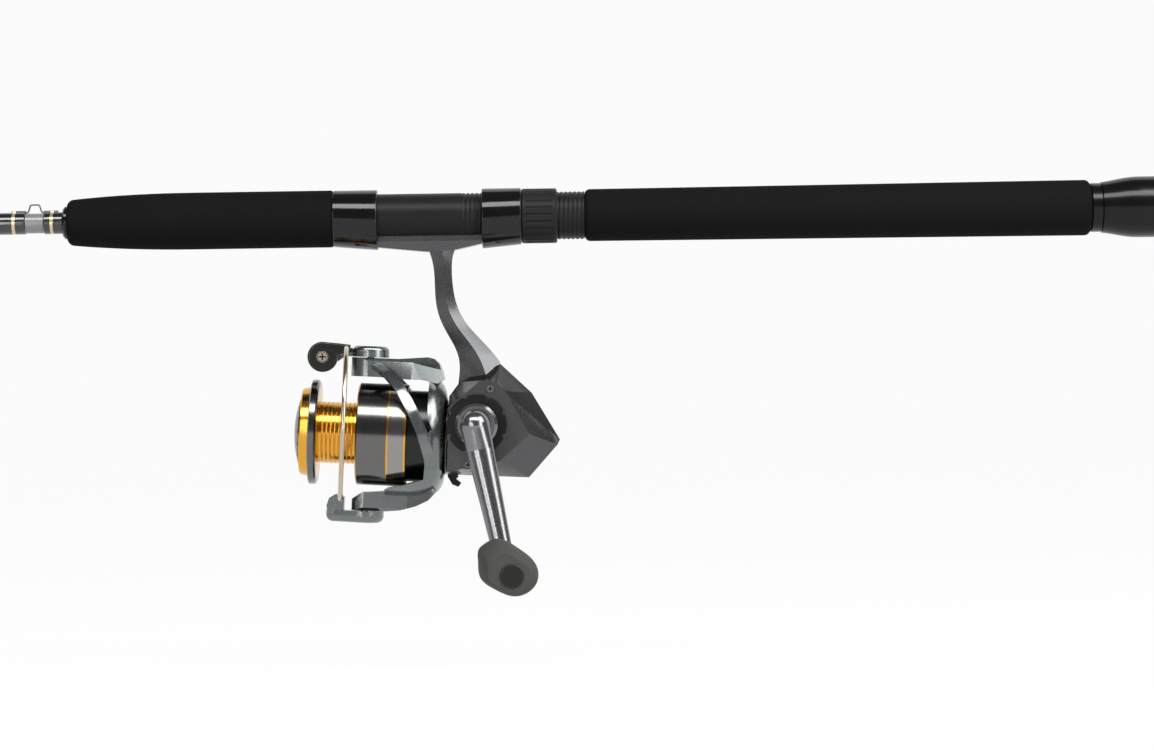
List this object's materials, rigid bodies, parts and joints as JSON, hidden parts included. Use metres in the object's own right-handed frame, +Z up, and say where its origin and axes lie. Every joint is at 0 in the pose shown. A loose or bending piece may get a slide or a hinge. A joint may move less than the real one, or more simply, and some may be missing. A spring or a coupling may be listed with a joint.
{
  "type": "spinning rod and reel",
  "caption": "Spinning rod with foam grips, screw reel seat and ring guides, carrying a spinning reel with crank, rotor, bail and front-drag spool.",
  "frame": {"origin": "centre of the butt end face on the rod axis", "axes": "+X along the rod to the tip, +Z up, +Y to the crank side; the reel hangs at -Z"},
  "size_m": [1.6761, 0.106, 0.1803],
  "materials": {
    "grip": "matte dense foam",
    "satin_black": "satin",
    "seat_grey": "satin",
    "gloss_black": "gloss",
    "blank_grey": "clear coated",
    "wrap_black": "varnished thread",
    "guide_steel": "black plated",
    "ring_ceramic": "polished ceramic",
    "steel": "polished",
    "graphite": "metallic satin",
    "guard_black": "satin",
    "gunmetal": "metallic satin",
    "gold": "anodised",
    "brass": "machined",
    "wire_beige": "polished",
    "knob_rubber": "soft touch"
  },
  "bodies": {
    "rod": {"blank": "blank_grey", "butt_cap": "satin_black", "butt_ring": "satin_black", "rear_grip": "grip", "seat_barrel": "seat_grey", "seat_arbors": "satin_black", "front_hood": "gloss_black", "foregrip": "grip", "winding_check": "gloss_black", "hook_keeper": "guide_steel", "keeper_wraps": "wrap_black", "guide_1": "guide_steel", "guide_2": "guide_steel", "guide_3": "guide_steel", "guide_4": "guide_steel", "guide_5": "guide_steel", "guide_rings": "ring_ceramic", "guide_wraps": "wrap_black", "tip_top": "guide_steel", "reel_body": "graphite", "side_cover": "graphite", "rear_guard": "guard_black", "side_screws": "steel", "drive_bearings": "steel", "pinion_bearing": "steel", "crank_collar": "satin_black"},
    "hood": {"sliding_hood": "gloss_black"},
    "nut": {"lock_nut": "satin_black"},
    "crank": {"crank_shaft": "steel", "drive_gear": "brass", "crank_arm": "gunmetal", "knob_spindle": "steel"},
    "grip_knob": {"knob": "knob_rubber", "knob_cap": "guard_black"},
    "rotor": {"rotor": "gunmetal", "rotor_nut": "steel", "pinion": "brass", "bail_pivots": "steel"},
    "bail": {"bail_arm": "gunmetal", "roller_cap": "satin_black", "roller_screw": "steel", "bail_lever": "gunmetal", "bail_wire": "wire_beige"},
    "roller": {"line_roller": "steel"},
    "shaft": {"main_shaft": "steel", "oscillation_slider": "satin_black"},
    "spool": {"spool": "gold", "drag_washers": "steel"},
    "drag": {"drag_knob": "guard_black"},
    "lever": {"anti_reverse_lever": "satin_black"}
  },
  "joints": [
    {"name": "hood_slide", "type": "slide", "parent": "rod", "child": "hood", "axis": [-1, 0, 0], "range_m": [0, 0.0111]},
    {"name": "nut_turn", "type": "hinge", "parent": "hood", "child": "nut", "pos_m": [0.2815, 0, 0], "axis": [1, 0, 0], "range_deg": [0, 2000]},
    {"name": "crank_spin", "type": "hinge", "parent": "rod", "child": "crank", "pos_m": [0.31073, 0, -0.09331], "axis": [0, 1, 0], "continuous": true},
    {"name": "knob_spin", "type": "hinge", "parent": "crank", "child": "grip_knob", "pos_m": [0.29864, 0.06, -0.1512], "axis": [0, 1, 0], "continuous": true},
    {"name": "rotor_spin", "type": "hinge", "parent": "rod", "child": "rotor", "pos_m": [0.33107, 0, -0.09865], "axis": [0.9983, 0, 0.0576], "continuous": true},
    {"name": "bail_flip", "type": "hinge", "parent": "rotor", "child": "bail", "pos_m": [0.36032, 0, -0.09696], "axis": [0.0576, 0, -0.9983], "range_deg": [0, 110]},
    {"name": "roller_spin", "type": "hinge", "parent": "bail", "child": "roller", "pos_m": [0.37974, -0.002, -0.06199], "axis": [0, 1, 0], "continuous": true},
    {"name": "spool_stroke", "type": "slide", "parent": "rod", "child": "shaft", "axis": [0.9983, 0, 0.0576], "range_m": [0, 0.008]},
    {"name": "spool_slip", "type": "hinge", "parent": "shaft", "child": "spool", "pos_m": [0.371, 0, -0.09635], "axis": [0.9983, 0, 0.0576], "continuous": true},
    {"name": "drag_turn", "type": "hinge", "parent": "shaft", "child": "drag", "pos_m": [0.38897, 0, -0.09531], "axis": [0.9983, 0, 0.0576], "range_deg": [-540, 540]},
    {"name": "lever_swing", "type": "hinge", "parent": "rod", "child": "lever", "pos_m": [0.32212, 0, -0.11379], "axis": [0, -1, 0], "range_deg": [0, 20]}
  ],
  "couplings": [
    {"joint": "rotor_spin", "follows": "crank_spin", "ratio": -4.5},
    {"joint": "nut_turn", "follows": "hood_slide", "rad_per_m": 3141.6}
  ]
}
